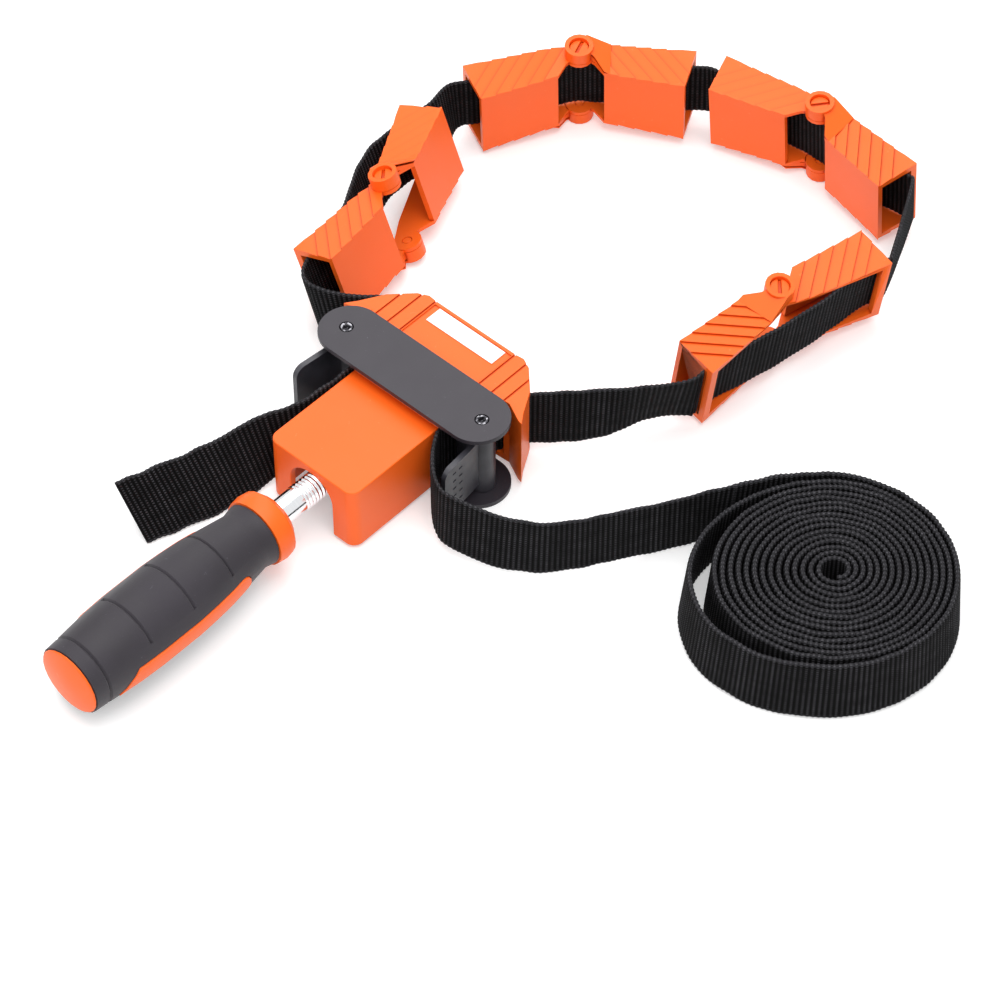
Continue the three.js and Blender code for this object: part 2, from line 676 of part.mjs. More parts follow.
const vertical = new THREE.Vector3(0, 0, 1);

// The webbing through each jaw, as shares of the jaw's reach and depth, from end to end
const jawRouteShares = [
  [[-1.016, 0.619], [-0.864, 0.673], [-0.584, 0.661], [-0.257, 0.739], [0, 0.931], [0.28, 1.081],
    [0.514, 1.057], [0.701, 0.889], [0.864, 0.685], [1.016, 0.541]],
  [[-1.016, -0.45], [-0.92, -0.43], [-0.584, -0.276], [-0.234, -0.096], [0, 0.018], [0.234, -0.084],
    [0.584, -0.264], [0.92, -0.43], [1.016, -0.45]],
  [[-1.016, -0.3], [-0.92, -0.27], [-0.5, -0.1], [0, -0.03], [0.4, -0.15],
    [0.7, -0.24], [0.88, -0.21], [1.016, -0.2]],
  [[-1.016, 0.6], [-0.96, 0.57], [-0.87, 0.52], [-0.5, 0.57], [-0.187, 0.62], [0.187, 0.62], [0.5, 0.57],
    [0.87, 0.52], [0.96, 0.57], [1.016, 0.6]],
];

function jawStrap(routeShares, frame) {
  frame.updateMatrixWorld(true);
  const points = routeShares.map(([x, y]) => (
    new THREE.Vector3(x * jawReach, y * jawDepth, 0).applyMatrix4(frame.matrixWorld)));
  const up = vertical.clone().transformDirection(frame.matrixWorld);
  return stationsAlong(points, points.map(() => up), 2 * (routeShares.length - 1));
}

// Coil: one unbroken band wound inwards, slack on one side, its lower edge a little further out
function coilStation(turn, centre) {
  const loop = Math.max(0, Math.round(turn - coilSlackPlaceShare));
  const reach = loop === 0 ? coilLooseness : coilSlack * (1 - loop / coilTurns);
  const slack = reach * Math.exp(-(((turn - loop - coilSlackPlaceShare) / coilSlackWidthShare) ** 2));
  const runIn = coilRunIn * Math.exp(-turn / coilRunInShare);
  const radius = coilRadius - coilPitch * turn + slack + runIn;
  const angle = radians(coilStart) - 2 * Math.PI * turn;
  const reachOut = new THREE.Vector3(Math.cos(angle), Math.sin(angle), 0).multiplyScalar(radius);
  return reachOut.add(centre);
}

function coilStations(centre) {
  const stations = [];
  const count = Math.round(coilTurns * coilSteps);
  for (let step = 0; step <= count; step += 1) {
    const turn = step / coilSteps;
    const nudge = 1 / (coilSteps * coilSteps);
    const along = coilStation(turn + nudge, centre).sub(coilStation(turn - nudge, centre)).normalize();
    const at = coilStation(turn, centre);
    const inward = centre.clone().sub(at).multiplyScalar(coilLeanShare / coilRadius);
    stations.push({ at, up: inward.add(vertical).normalize(), along });
  }
  const { at, up, along } = stations[0];
  stations.unshift({ at: at.clone().addScaledVector(along, -strapThickness), up, along });
  return stations;
}

// Least clear gap between neighbouring turns of the coil, measured on its points
function coilLeastGap(stations) {
  let least = Infinity;
  for (let first = 0; first < stations.length; first += 1) {
    for (let other = first + coilSteps / 2; other < stations.length - 1; other += 1) {
      const line = new THREE.Line3(stations[other].at, stations[other + 1].at);
      const nearest = line.closestPointToPoint(stations[first].at, true, new THREE.Vector3());
      least = Math.min(least, nearest.distanceTo(stations[first].at));
    }
  }
  return least - strapThickness;
}

// Free webbing beside the body, as steps from where it leaves the cam: X, Y, height and lean
const tailRoute = [
  [0, 0, 0, 0], [-11, 0.1, 0, 0], [-21, 0.9, -0.6, 0.04], [-27, 2.5, -1.8, 0.16], [-35.7, 5.6, -3.8, 0.38],
  [-47, 8.2, -5.5, 0.58], [-59, 11.4, -6.2, 0.68], [-70.5, 15, -6.4, 0.72], [-81, 18.4, -6.4, 0.7],
  [-86.2, 20, -6.3, 0.68],
];
// Steps from the head's mouth round the wing, then steps from the first jaw
const leftRoute = [
  [0.3, 0.2], [1.4, 0.8], [2.3, 2.3], [2.1, 3.4], [1.5, 4.3], [0.1, 5.8], [-1.7, 7.7], [-4.1, 11.1],
];
const jawLeadIn = [[-3.6, -16.2], [-5.6, -11.5], [-6.1, -7.5], [-5, -3.9], [-2.7, -1.5]];
const runRoute = [
  [0, 0, 0, 0], [-1.4, -0.2, 0, 0], [-4.1, -1.6, 0, 0], [-8.6, -4.6, 0, 0], [-14.8, -10.4, 0, 0],
  [-18.8, -16, -0.3, 0.03], [-20.2, -21.5, -0.6, 0.06], [-18.6, -30.2, -1.1, 0.08],
  [-15.2, -39.6, -1.6, 0.08], [-9.8, -48.4, -2.2, 0.05], [-2.4, -56, -2.7, 0.02],
  [9.3, -63.6, -3.2, 0], [20.6, -70.2, -3.7, 0], [31, -76.1, -4, 0], [40.9, -81.3, -4.2, 0],
];

function freeStations(route, side, leanX, steps, ending = []) {
  const exit = new THREE.Vector3(camExit, side * strapLine, midHeight);
  const points = route.map(([x, y, z]) => new THREE.Vector3(x, y, z).add(exit));
  const ups = route.map(([, , , lean]) => new THREE.Vector3(leanX ? lean : 0, leanX ? 0 : side * lean, 1));
  for (const station of ending) {
    points.push(station.at);
    ups.push(station.up);
  }
  return stationsAlong(points, ups.map((up) => up.normalize()), steps);
}

// From the cam along the housing's side, then out through the head's window to its mouth
function feedStations(side) {
  const { inside, outside } = channelLine();
  const start = camExit + strapJoint;
  const run = outside.clone().sub(inside);
  const onRun = (share) => [inside.x + run.x * share, inside.y + run.y * share];
  const runShares = [0.12, 0.5, 0.78, 0.99];
  const middle = (start + inside.x) / 2;
  const points = [[start, strapLine], [middle, strapLine], [inside.x - strapThickness, strapLine],
    ...runShares.map(onRun)];
  const places = points.map(([x, y]) => new THREE.Vector3(x, side * y, midHeight));
  return stationsAlong(places, places.map(() => vertical.clone()), 12);
}

function buildTensioner() {
  add("rear_housing", rearHousing(), orange);
  add("bottom_plate", plate(0), plateGrey);
  add("top_plate", plate(plateThickness + plateGap), plateGrey);
  add("pivot_pin_left", pivotPin(1), steel);
  add("pivot_pin_right", pivotPin(-1), steel);
  add("spindle_nut", spindleNut(), steel);
  add("cam_lever_left", camLever(1), leverGrey);
  add("cam_lever_right", camLever(-1), leverGrey);
  add("pressure_head", pressureHead(), orange);
  add("label", label(), paper);
  add("thrust_cup", thrustCup(), steel);
  add("retaining_clip", retainingClip(), steel);
  add("spindle", spindle(), chrome);
  add("handle_core", handleCore(), orange);
  add("handle_grip", handleGrip(), gripGrey);
  add("handle_cap", handleCap(), orange);
}

// A jaw in its place on the loop, leaning as it lies, with its lowest point just off the floor
function buildJaw(number, place) {
  const frame = new THREE.Group();
  frame.position.set(place.along * loopReach, place.across * loopHalfWidth, 0);
  frame.rotation.set(radians(place.lean), radians(place.roll), radians(place.turn), "ZYX");
  group.add(frame);
  const near = add(`jaw_${number}_half_a`, jawHalf(), orange, frame);
  near.rotation.set(Math.PI, 0, Math.PI + radians(place.bend), "ZYX");
  const far = add(`jaw_${number}_half_b`, jawHalf(), orange, frame);
  far.rotation.z = -radians(place.bend);
  add(`jaw_${number}_pin_top`, jawPin(), orange, frame).rotation.z = radians(place.slot - place.turn);
  add(`jaw_${number}_pin_bottom`, jawPin(), orange, frame).rotation.set(Math.PI, 0, radians(place.turn));
  frame.position.z = floorGap - new THREE.Box3().setFromObject(frame, true).min.z;
  return frame;
}

// How hard the free lengths bend towards the direction of their ends
const jawPullShares = [0.9, 0.9, 0.05];
const rightPullShare = 0.4;
// How far the lower edge leans into the loop between the last jaw and the head's mouth
const rightLeanShares = [0.02, 0.1, 0.16, 0.18, 0.16, 0.08, -0.03, -0.07, -0.08, -0.07, -0.05, -0.02, 0];

function addStrap(name, stations) {
  add(name, ribbon(stations), webbing);
}

function buildStrap(frames) {
  const jaws = jawRouteShares.map((routeShares, index) => jawStrap(routeShares, frames[index]));
  jaws.forEach((stations, index) => addStrap(`strap_in_jaw_${index + 1}`, stations));
  const last = (stations) => stations[stations.length - 1];
  for (let index = 0; index + 1 < jaws.length; index += 1) {
    const span = bridge(last(jaws[index]), jaws[index + 1][0], 6, jawPullShares[index]);
    addStrap(`strap_jaw_${index + 1}_to_${index + 2}`, span);
  }
  const left = feedStations(1);
  const right = feedStations(-1);
  addStrap("strap_left_feed", left);
  addStrap("strap_right_feed", right);
  const mouth = last(left).at;
  const jawStart = jaws[0][0];
  const leftWay = leftRoute.map(([x, y]) => new THREE.Vector3(mouth.x + x, mouth.y + y, midHeight));
  const { x: jawX, y: jawY } = jawStart.at;
  leftWay.push(...jawLeadIn.map(([x, y]) => new THREE.Vector3(jawX + x, jawY + y, midHeight)));
  leftWay.push(jawStart.at.clone().addScaledVector(jawStart.along, -strapJoint));
  const ups = leftWay.map((point, index) => (
    vertical.clone().lerp(jawStart.up, index / (leftWay.length - 1)).normalize()));
  addStrap("strap_left_span", stationsAlong(leftWay, ups, 24));
  const rightMouth = last(right);
  const fromJaw = last(jaws[3]);
  const toHead = { at: rightMouth.at, up: rightMouth.up, along: rightMouth.along.clone().negate() };
  const whole = bridge(fromJaw, toHead, rightLeanShares.length - 1, rightPullShare);
  whole.forEach((station, index) => {
    const inward = new THREE.Vector3().crossVectors(station.along, vertical).normalize();
    station.at.addScaledVector(inward, (strapWidth / 2) * rightLeanShares[index]);
    station.up.addScaledVector(inward, -rightLeanShares[index]).normalize();
  });
  addStrap("strap_jaw_4_span", whole.slice(0, 7));
  const [{ at, up, along }, ...rest] = whole.slice(6);
  addStrap("strap_right_span", [{ at: at.clone().addScaledVector(along, strapJoint), up, along }, ...rest]);
  const coilHeight = strapWidth / 2 + floorGap;
  const centre = new THREE.Vector3(camExit + coilPlace[0], coilPlace[1] - strapLine, coilHeight);
  const coil = coilStations(centre);
  addStrap("strap_tail", freeStations(tailRoute, 1, false, 22));
  const start = coil[0];
  const ending = [strapThickness * 3, strapJoint].map((back) => (
    { at: start.at.clone().addScaledVector(start.along, -back), up: start.up.clone() }));
  addStrap("strap_run", freeStations(runRoute, -1, true, 34, ending));
  addStrap("strap_coil", coil);
  console.log(`least gap between the coil's turns: ${coilLeastGap(coil).toFixed(2)} mm`);
}

buildTensioner();
buildStrap(jawPlaceShares.map((place, index) => buildJaw(index + 1, place)));

export default group;
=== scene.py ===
"""A band clamp in a plain studio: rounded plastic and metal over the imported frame, and ribbed
webbing drawn along the frame's own webbing routes. Metres, +Z up, in the frame's own axes."""
import json
import math

import bmesh
import bpy
from mathutils import Matrix, Vector, noise

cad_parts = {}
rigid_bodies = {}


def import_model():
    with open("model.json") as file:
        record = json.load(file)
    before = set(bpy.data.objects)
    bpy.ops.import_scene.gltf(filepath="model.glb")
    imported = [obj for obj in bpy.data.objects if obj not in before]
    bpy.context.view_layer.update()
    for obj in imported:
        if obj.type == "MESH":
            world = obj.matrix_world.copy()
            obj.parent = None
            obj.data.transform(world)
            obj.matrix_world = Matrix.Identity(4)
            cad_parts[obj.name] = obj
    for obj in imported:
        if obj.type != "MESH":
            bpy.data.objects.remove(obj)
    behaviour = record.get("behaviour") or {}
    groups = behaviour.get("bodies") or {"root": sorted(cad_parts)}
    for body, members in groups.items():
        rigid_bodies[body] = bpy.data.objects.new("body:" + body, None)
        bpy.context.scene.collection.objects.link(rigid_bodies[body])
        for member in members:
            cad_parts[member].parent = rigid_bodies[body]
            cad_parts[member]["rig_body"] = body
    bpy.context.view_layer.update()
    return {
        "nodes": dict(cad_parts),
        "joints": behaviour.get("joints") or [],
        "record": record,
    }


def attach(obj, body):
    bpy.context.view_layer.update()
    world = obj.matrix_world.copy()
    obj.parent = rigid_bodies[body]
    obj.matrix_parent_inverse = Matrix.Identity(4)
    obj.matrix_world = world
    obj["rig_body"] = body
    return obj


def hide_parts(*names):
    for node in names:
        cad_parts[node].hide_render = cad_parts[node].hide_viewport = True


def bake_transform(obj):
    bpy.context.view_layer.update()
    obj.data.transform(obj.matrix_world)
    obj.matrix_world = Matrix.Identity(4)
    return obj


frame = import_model()
nodes = frame["nodes"]

# The photograph's view: turned from +Y, raised from the floor, and the point it looks at
VIEW_TURN = math.radians(-47.48)
VIEW_RISE = math.radians(49.31)
VIEW_DISTANCE = 1.3205
LOOK_AT = Vector((-0.0005, -0.0404, 0.0))
SENSOR = 36.0
LENS = 139.54

# Webbing
WEB_WIDTH = 0.025
WEB_THICKNESS = 0.0017
# Wound webbing lies fuller than stretched webbing, so the coil's turns almost touch
WOUND_THICKNESS = 0.0021
RIB_PITCH = 0.0018
RIB_HEIGHT = 0.00022
STEPS_PER_RIB = 4
SCALLOP = 0.009
WOBBLE = 0.0008
YARN_WIDTH = 0.00095
# Half the way round a section, and how far the painted highlight on the selvedge reaches from the middle of
# an edge
HALF_GIRTH = WEB_WIDTH + WEB_THICKNESS
SELVEDGE_HIGHLIGHT_REACH = 0.0016
RIB_STRETCH = 2 * math.pi / RIB_PITCH
# How round each yarn is, and the shares of yarn and fuzz in the cloth's height
YARN_ROUNDNESS = 3.4
YARN_SHARE = 0.7
FUZZ_SHARE = 0.45
# How fine the fuzz and the drift of tone are, along and across, and how bright the painted highlight on the
# selvedge's loops is
FUZZ_SCALE = (2600.0, 5200.0, 1.0)
TONE_SCALE = (90.0, 240.0, 1.0)
PAINTED_SELVEDGE_HIGHLIGHT = 0.42
DRIFT_PER_METRE = 150
DRIFT_ROW = (0.7, 0.2)
JOINT_GAP = 0.0003
BEND_REACH = 0.006

# Painted shade and finishes: how far the painted shade in grooves reaches, and how fine turning marks are
# along and round the spindle
PAINTED_SHADE_REACH = 0.0016
TURNING_MARKS = (3200.0, 30.0, 30.0)

# Meshes
WELD_REACH = 2e-6
FLAT_ANGLE = math.radians(0.6)
ROUNDED_ANGLE = math.radians(28)
SHARP_ANGLE = math.radians(38)
WEB_SHARP_ANGLE = math.radians(60)
JAW_ROUNDING = (0.00035, 2)
JAW_PIN_ROUNDING = (0.0002, 2)
# The radius of each piece's rounded edges and the facets across it
ROUNDING = {
    "rear_housing": (0.0009, 3),
    "pressure_head": (0.0006, 3),
    "top_plate": (0.0004, 2),
    "bottom_plate": (0.0004, 2),
    "cam_lever_left": (0.0004, 2),
    "cam_lever_right": (0.0004, 2),
    "pivot_pin_left": (0.00025, 2),
    "pivot_pin_right": (0.00025, 2),
    "spindle_nut": (0.0003, 2),
    "label": (0.00008, 1),
    "thrust_cup": (0.0003, 2),
    "retaining_clip": (0.0002, 2),
    "spindle": (0.00012, 2),
    "handle_core": (0.0005, 2),
    "handle_grip": (0.0003, 2),
    "handle_cap": (0.0008, 3),
}

# Studio
FLOOR_HALF = 3.0
FLOOR_DROP = 0.0001
FLOOR_TONE = (0.86, 0.86, 0.86, 1.0)
FLOOR_GLOW = 0.3
WHITE = (1, 1, 1, 1)
STUDIO_LIGHT = 0.38
CLIP_END = 20.0
# Each lamp's place, its size and its power
LAMPS = {
    "top": ((0.1, 0.0, 1.8), 1.6, 20.0),
    "key": ((-0.5, -0.9, 1.6), 1.4, 13.0),
    "fill": ((-1.3, 0.5, 1.1), 1.4, 6.0),
    "back": ((0.9, 0.9, 1.3), 1.2, 8.0),
}


def linear(hex_colour):
    """A screen colour as linear RGBA."""
    channels = [int(hex_colour[i:i + 2], 16) / 255 for i in (1, 3, 5)]
    return [c / 12.92 if c <= 0.04045 else ((c + 0.055) / 1.055) ** 2.4 for c in channels] + [1.0]


class Shader:
    """A node material with short calls for the nodes used here."""

    def __init__(self, name):
        self.material = bpy.data.materials.new(name)
        self.material.use_nodes = True
        self.tree = self.material.node_tree
        self.bsdf = self.tree.nodes["Principled BSDF"]

    def node(self, kind, **settings):
        made = self.tree.nodes.new(kind)
        for key, value in settings.items():
            setattr(made, key, value)
        return made

    def link(self, output, socket):
        self.tree.links.new(output, socket)

    def set(self, **values):
        for key, value in values.items():
            self.bsdf.inputs[key.replace("_", " ")].default_value = value

    def place(self, kind="Object"):
        return self.node("ShaderNodeTexCoord").outputs[kind]

    def scaled(self, vector, scale):
        mapping = self.node("ShaderNodeMapping")
        mapping.inputs["Scale"].default_value = scale
        self.link(vector, mapping.inputs["Vector"])
        return mapping.outputs["Vector"]

    def noise(self, vector, scale, detail=3.0, roughness=0.55):
        texture = self.node("ShaderNodeTexNoise")
        texture.inputs["Scale"].default_value = scale
        texture.inputs["Detail"].default_value = detail
        texture.inputs["Roughness"].default_value = roughness
        self.link(vector, texture.inputs["Vector"])
        return texture.outputs["Fac"]

    def math(self, operation, a, b=None, clamp=False):
        made = self.node("ShaderNodeMath", operation=operation, use_clamp=clamp)
        for socket, value in zip(made.inputs, (a, b)):
            if isinstance(value, (int, float)):
                socket.default_value = value
            elif value is not None:
                self.link(value, socket)
        return made.outputs["Value"]

    def ramp(self, factor, low, high, start=0.0, end=1.0):
        made = self.node("ShaderNodeMapRange")
        for key, value in (("From Min", low), ("From Max", high), ("To Min", start), ("To Max", end)):
            made.inputs[key].default_value = value
        self.link(factor, made.inputs["Value"])
        return made.outputs["Result"]

    def mix(self, factor, first, second):
        made = self.node("ShaderNodeMix", data_type="RGBA")
        for name, value in (("Factor", factor), ("A", first), ("B", second)):
            socket = made.inputs[name]
            if isinstance(value, (int, float, list)):
                socket.default_value = value
            else:
                self.link(value, socket)
        return made.outputs["Result"]

    def bump(self, height, strength, distance):
        made = self.node("ShaderNodeBump")
        made.inputs["Strength"].default_value = strength
        made.inputs["Distance"].default_value = distance
        self.link(height, made.inputs["Height"])
        return made.outputs["Normal"]

    def colour(self, output):
        self.link(output, self.bsdf.inputs["Base Color"])

    def roughness(self, output):
        self.link(output, self.bsdf.inputs["Roughness"])

    def surface(self, height, strength, distance):
        self.link(self.bump(height, strength, distance), self.bsdf.inputs["Normal"])


def specks(shader, scale, amount=1.0, low=0.68, high=0.74):
    """Sparse small spots where a surface is rubbed or dusty."""
    return shader.ramp(shader.noise(shader.place(), scale=scale, detail=4.0), low=low, high=high, end=amount)


def cloud(shader, scale, detail=3.0):
    """Broad soft patches that drift between two tones."""
    return shader.ramp(shader.noise(shader.place(), scale=scale, detail=detail), low=0.3, high=0.7)


def painted_shade_openness(shader):
    """How open a spot lies on its own piece, the mask for painted shade: low in grooves and inner corners.
    """
    made = shader.node("ShaderNodeAmbientOcclusion", samples=8, only_local=True)
    made.inputs["Distance"].default_value = PAINTED_SHADE_REACH
    return shader.ramp(made.outputs["AO"], low=0.5, high=0.93)


def moulded_plastic():
    """Orange moulded plastic: painted shade, a deeper orange, in its grooves, with fine grain and a few
    paler specks.
    """
    shader = Shader("orange_plastic")
    place = shader.place()
    colour = shader.mix(cloud(shader, scale=38.0, detail=2.0), linear("#ff6718"), linear("#ff691a"))
    colour = shader.mix(specks(shader, scale=420.0, amount=0.25), colour, linear("#ff8f58"))
    # painted shade: a deeper orange where the piece folds into grooves and inner corners
    shader.colour(shader.mix(painted_shade_openness(shader), linear("#c23a06"), colour))
    smudges = shader.noise(place, scale=90.0, detail=4.0)
    shader.roughness(shader.ramp(smudges, low=0.3, high=0.75, start=0.4, end=0.44))
    shader.surface(shader.noise(place, scale=2400.0, detail=2.0), strength=0.12, distance=0.00008)
    shader.set(IOR=1.5, Specular_IOR_Level=0.3, Coat_Weight=0.04, Coat_Roughness=0.25)
    return shader.material


def painted_plate():
    """Dark grey coated steel with a fine orange-peel and a few rubbed spots."""
    shader = Shader("dark_plate")
    place = shader.place()
    colour = shader.mix(cloud(shader, scale=60.0), linear("#2d2930"), linear("#2f2b32"))
    shader.colour(shader.mix(specks(shader, scale=500.0, amount=0.25), colour, linear("#77757f")))
    haze = shader.noise(place, scale=140.0)
    shader.roughness(shader.ramp(haze, low=0.3, high=0.7, start=0.45, end=0.48))
    shader.surface(shader.noise(place, scale=900.0, detail=2.0), strength=0.14, distance=0.0001)
    shader.set(Metallic=0.1, Specular_IOR_Level=0.45)
    return shader.material


def blackened_steel():
    """Dark oiled steel of the lever pivots and the spindle's nut, bright where it is rubbed."""
    shader = Shader("blackened_steel")
    oil = cloud(shader, scale=210.0)
    colour = shader.mix(oil, linear("#242327"), linear("#35343a"))
    shader.colour(shader.mix(specks(shader, scale=900.0, low=0.5, high=0.6), colour, linear("#a3a2a8")))
    shader.roughness(shader.ramp(oil, low=0.0, high=1.0, start=0.3, end=0.42))
    grain = shader.noise(shader.place(), scale=1100.0, detail=2.0)
    shader.surface(grain, strength=0.1, distance=0.00006)
    shader.set(Metallic=0.6)
    return shader.material


def lever_plastic():
    """Dark satin moulding of the cam levers."""
    shader = Shader("lever_plastic")
    place = shader.place()
    colour = shader.mix(cloud(shader, scale=110.0), linear("#2c2b31"), linear("#3a3940"))
    shader.colour(shader.mix(specks(shader, scale=500.0, amount=0.3), colour, linear("#6d6b73")))
    haze = shader.noise(place, scale=200.0)
    shader.roughness(shader.ramp(haze, low=0.3, high=0.7, start=0.33, end=0.47))
    shader.surface(shader.noise(place, scale=1500.0, detail=2.0), strength=0.1, distance=0.0001)
    return shader.material


def soft_grip():
    """Matt dark rubber with dusty scuffs and a pebbled skin."""
    shader = Shader("soft_grip")
    place = shader.place()
    dust = shader.ramp(shader.noise(place, scale=45.0, detail=5.0, roughness=0.65), low=0.45, high=0.8)
    colour = shader.mix(dust, linear("#2a262c"), linear("#343037"))
    shader.colour(shader.mix(specks(shader, scale=700.0, amount=0.3), colour, linear("#605e68")))
    shader.roughness(shader.ramp(dust, low=0.0, high=1.0, start=0.55, end=0.72))
    pebbles = shader.node("ShaderNodeTexVoronoi")
    pebbles.inputs["Scale"].default_value = 1400.0
    shader.link(place, pebbles.inputs["Vector"])
    shader.surface(pebbles.outputs["Distance"], strength=0.12, distance=0.00015)
    shader.set(Specular_IOR_Level=0.35, Sheen_Weight=0.1, Sheen_Roughness=0.5)
    return shader.material


def plated(name, colour, roughness, scratch):
    """Bright or dull plated steel with fine turning marks round the spindle's axis."""
    shader = Shader(name)
    place = shader.place()
    marks = shader.noise(shader.scaled(place, TURNING_MARKS), scale=1.0, detail=2.0)
    shader.colour(shader.mix(marks, linear(colour), linear("#f2f3f5")))
    haze = shader.noise(place, scale=300.0)
    shader.roughness(shader.ramp(haze, low=0.3, high=0.7, start=roughness, end=roughness + 0.08))
    shader.surface(marks, strength=scratch, distance=0.00005)
    shader.set(Metallic=1.0)
    return shader.material


def blank_label():
    """White paper label with nothing on it."""
    shader = Shader("blank_label")
    fibres = shader.noise(shader.place(), scale=700.0, detail=4.0)
    shader.colour(shader.mix(fibres, linear("#f6f7f6"), linear("#ffffff")))
    shader.surface(fibres, strength=0.08, distance=0.00005)
    shader.set(Roughness=0.45, Coat_Weight=0.2, Coat_Roughness=0.2)
    return shader.material


def yarn_height(shader, along, across):
    """Yarns side by side across the webbing, set over by half a yarn at each half rib."""
    half_rib = shader.math("FLOOR", shader.math("DIVIDE", along, RIB_PITCH / 2))
    shift = shader.math("MULTIPLY", half_rib, 0.5)
    row = shader.math("ADD", shader.math("DIVIDE", across, YARN_WIDTH), shift)
    from_middle = shader.math("ABSOLUTE", shader.math("SUBTRACT", shader.math("FRACT", row), 0.5))
    fall = shader.math("MULTIPLY", shader.math("POWER", from_middle, 2.0), YARN_ROUNDNESS)
    return shader.math("SUBTRACT", 1.0, fall)


def selvedge_highlight_share(shader, across):
    """How near a spot is to the middle of one of the webbing's two edges: the mask for the painted highlight
    on the selvedges.
    """
    turn = shader.math("FRACT", shader.math("DIVIDE", across, HALF_GIRTH))
    turn = shader.math("ABSOLUTE", shader.math("SUBTRACT", turn, 0.5))
    from_edge = shader.math("MULTIPLY", turn, HALF_GIRTH)
    return shader.ramp(from_edge, low=SELVEDGE_HIGHLIGHT_REACH * 0.6, high=SELVEDGE_HIGHLIGHT_REACH, start=1.0, end=0.0)


def webbing_cloth():
    """Black ribbed webbing with painted highlights on the yarns and selvedges and painted shade in the rib
    valleys. UV runs along the length and round the section, in metres.
    """
    shader = Shader("webbing_cloth")
    uv = shader.place("UV")
    split = shader.node("ShaderNodeSeparateXYZ")
    shader.link(uv, split.inputs["Vector"])
    along, across = split.outputs["X"], split.outputs["Y"]
    crest = shader.ramp(shader.math("SINE", shader.math("MULTIPLY", along, RIB_STRETCH)), low=-1.0, high=1.0)
    fuzz = shader.noise(shader.scaled(uv, FUZZ_SCALE), scale=1.0)
    tone = shader.noise(shader.scaled(uv, TONE_SCALE), scale=1.0)
    one_rib = shader.node("ShaderNodeTexWhiteNoise", noise_dimensions="1D")
    shader.link(shader.math("FLOOR", shader.math("DIVIDE", along, RIB_PITCH)), one_rib.inputs["W"])
    yarn = shader.math("MULTIPLY", yarn_height(shader, along, across), YARN_SHARE)
    height = shader.math("ADD", yarn, shader.math("MULTIPLY", fuzz, FUZZ_SHARE))
    # painted highlight on the crowns of the yarns and painted shade between them, mixed with fuzz
    light = shader.ramp(height, low=0.6, high=1.1)
    light = shader.math("MULTIPLY", light, shader.ramp(tone, low=0.25, high=0.75, start=0.35, end=1.0))
    rib_light = shader.ramp(one_rib.outputs["Value"], low=0.0, high=1.0, start=0.55, end=1.0)
    light = shader.math("MULTIPLY", light, rib_light)
    # painted shade in the valleys between ribs, nearly black at the bottom of each valley
    light = shader.math("MULTIPLY", light, shader.ramp(crest, low=0.3, high=0.9, start=0.06, end=1.0))
    # painted highlight on both selvedges, broken up by the fuzz
    loops = shader.math("MULTIPLY", shader.ramp(fuzz, low=0.35, high=0.7), selvedge_highlight_share(shader, across))
    light = shader.math("ADD", light, shader.math("MULTIPLY", loops, PAINTED_SELVEDGE_HIGHLIGHT), clamp=True)
    shader.colour(shader.mix(light, linear("#020202"), linear("#69686d")))
    shader.surface(height, strength=0.9, distance=0.0003)
    shader.set(Roughness=0.75, Specular_IOR_Level=0.07, Sheen_Weight=0.0)
    return shader.material


MATERIALS = {
    "orange_plastic": moulded_plastic(),
    "dark_plate": painted_plate(),
    "lever": lever_plastic(),
    "grip": soft_grip(),
    "chrome": plated("bright_chrome", "#dfe1e4", 0.07, 0.05),
    "steel": plated("dull_steel", "#83858b", 0.3, 0.1),
    "pivot_steel": blackened_steel(),
    "label": blank_label(),
    "webbing": webbing_cloth(),
}
SLOT_OF = {part["node"]: part["material_slot"] for part in frame["record"]["subparts"]}


def link_mesh(name, mesh):
    made = bpy.data.objects.new(name, mesh)
    bpy.context.scene.collection.objects.link(made)
    return made


def finish_piece(piece, node):
    """Gives the piece the material of its node's slot, and hides the CAD node that it stands for."""
    slot = SLOT_OF[node]
    piece.data.materials.clear()
    piece.data.materials.append(MATERIALS[slot])
    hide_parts(node)


def rounded(node, width, segments):
    """The node's own shape with its edges rounded, as moulding or tumbling leaves them."""
    mesh = nodes[node].data.copy()
    mesh.name = node + "_finished"
    solid = bmesh.new()
    solid.from_mesh(mesh)
    bmesh.ops.remove_doubles(solid, verts=solid.verts, dist=WELD_REACH)
    bmesh.ops.dissolve_limit(solid, angle_limit=FLAT_ANGLE, verts=solid.verts, edges=solid.edges)
    solid.to_mesh(mesh)
    solid.free()
    piece = link_mesh(node + "_finished", mesh)
    bevel = piece.modifiers.new("rounding", "BEVEL")
    bevel.width = width
    bevel.segments = segments
    bevel.limit_method = "ANGLE"
    bevel.angle_limit = ROUNDED_ANGLE
    bevel.use_clamp_overlap = True
    bevel.miter_outer = "MITER_ARC"
    evaluated = piece.evaluated_get(bpy.context.evaluated_depsgraph_get())
    final = bpy.data.meshes.new_from_object(evaluated)
    piece.modifiers.clear()
    piece.data = final
    final.shade_smooth()
    final.set_sharp_from_angle(angle=SHARP_ANGLE)
    weighted = piece.modifiers.new("even_shading", "WEIGHTED_NORMAL")
    weighted.keep_sharp = True
    finish_piece(piece, node)
    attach(piece, nodes[node]["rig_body"])


def cap_of(solid):
    """The corner vertices of one end of a band: a pair of triangles or a quad whose whole
    neighbourhood is a single next ring."""
    def ring_of(faces):
        return {v for face in faces for v in face.verts}

    def opens_one_way(ring):
        around = {edge.other_vert(v) for v in ring for edge in v.link_edges} - ring
        return len(ring) == 4 and len(around) == 4

    for face in solid.faces:
        if opens_one_way(ring_of([face])):
            return ring_of([face])
        for edge in face.edges:
            ring = ring_of(edge.link_faces)
            if opens_one_way(ring):
                return ring
    raise ValueError("no end found")


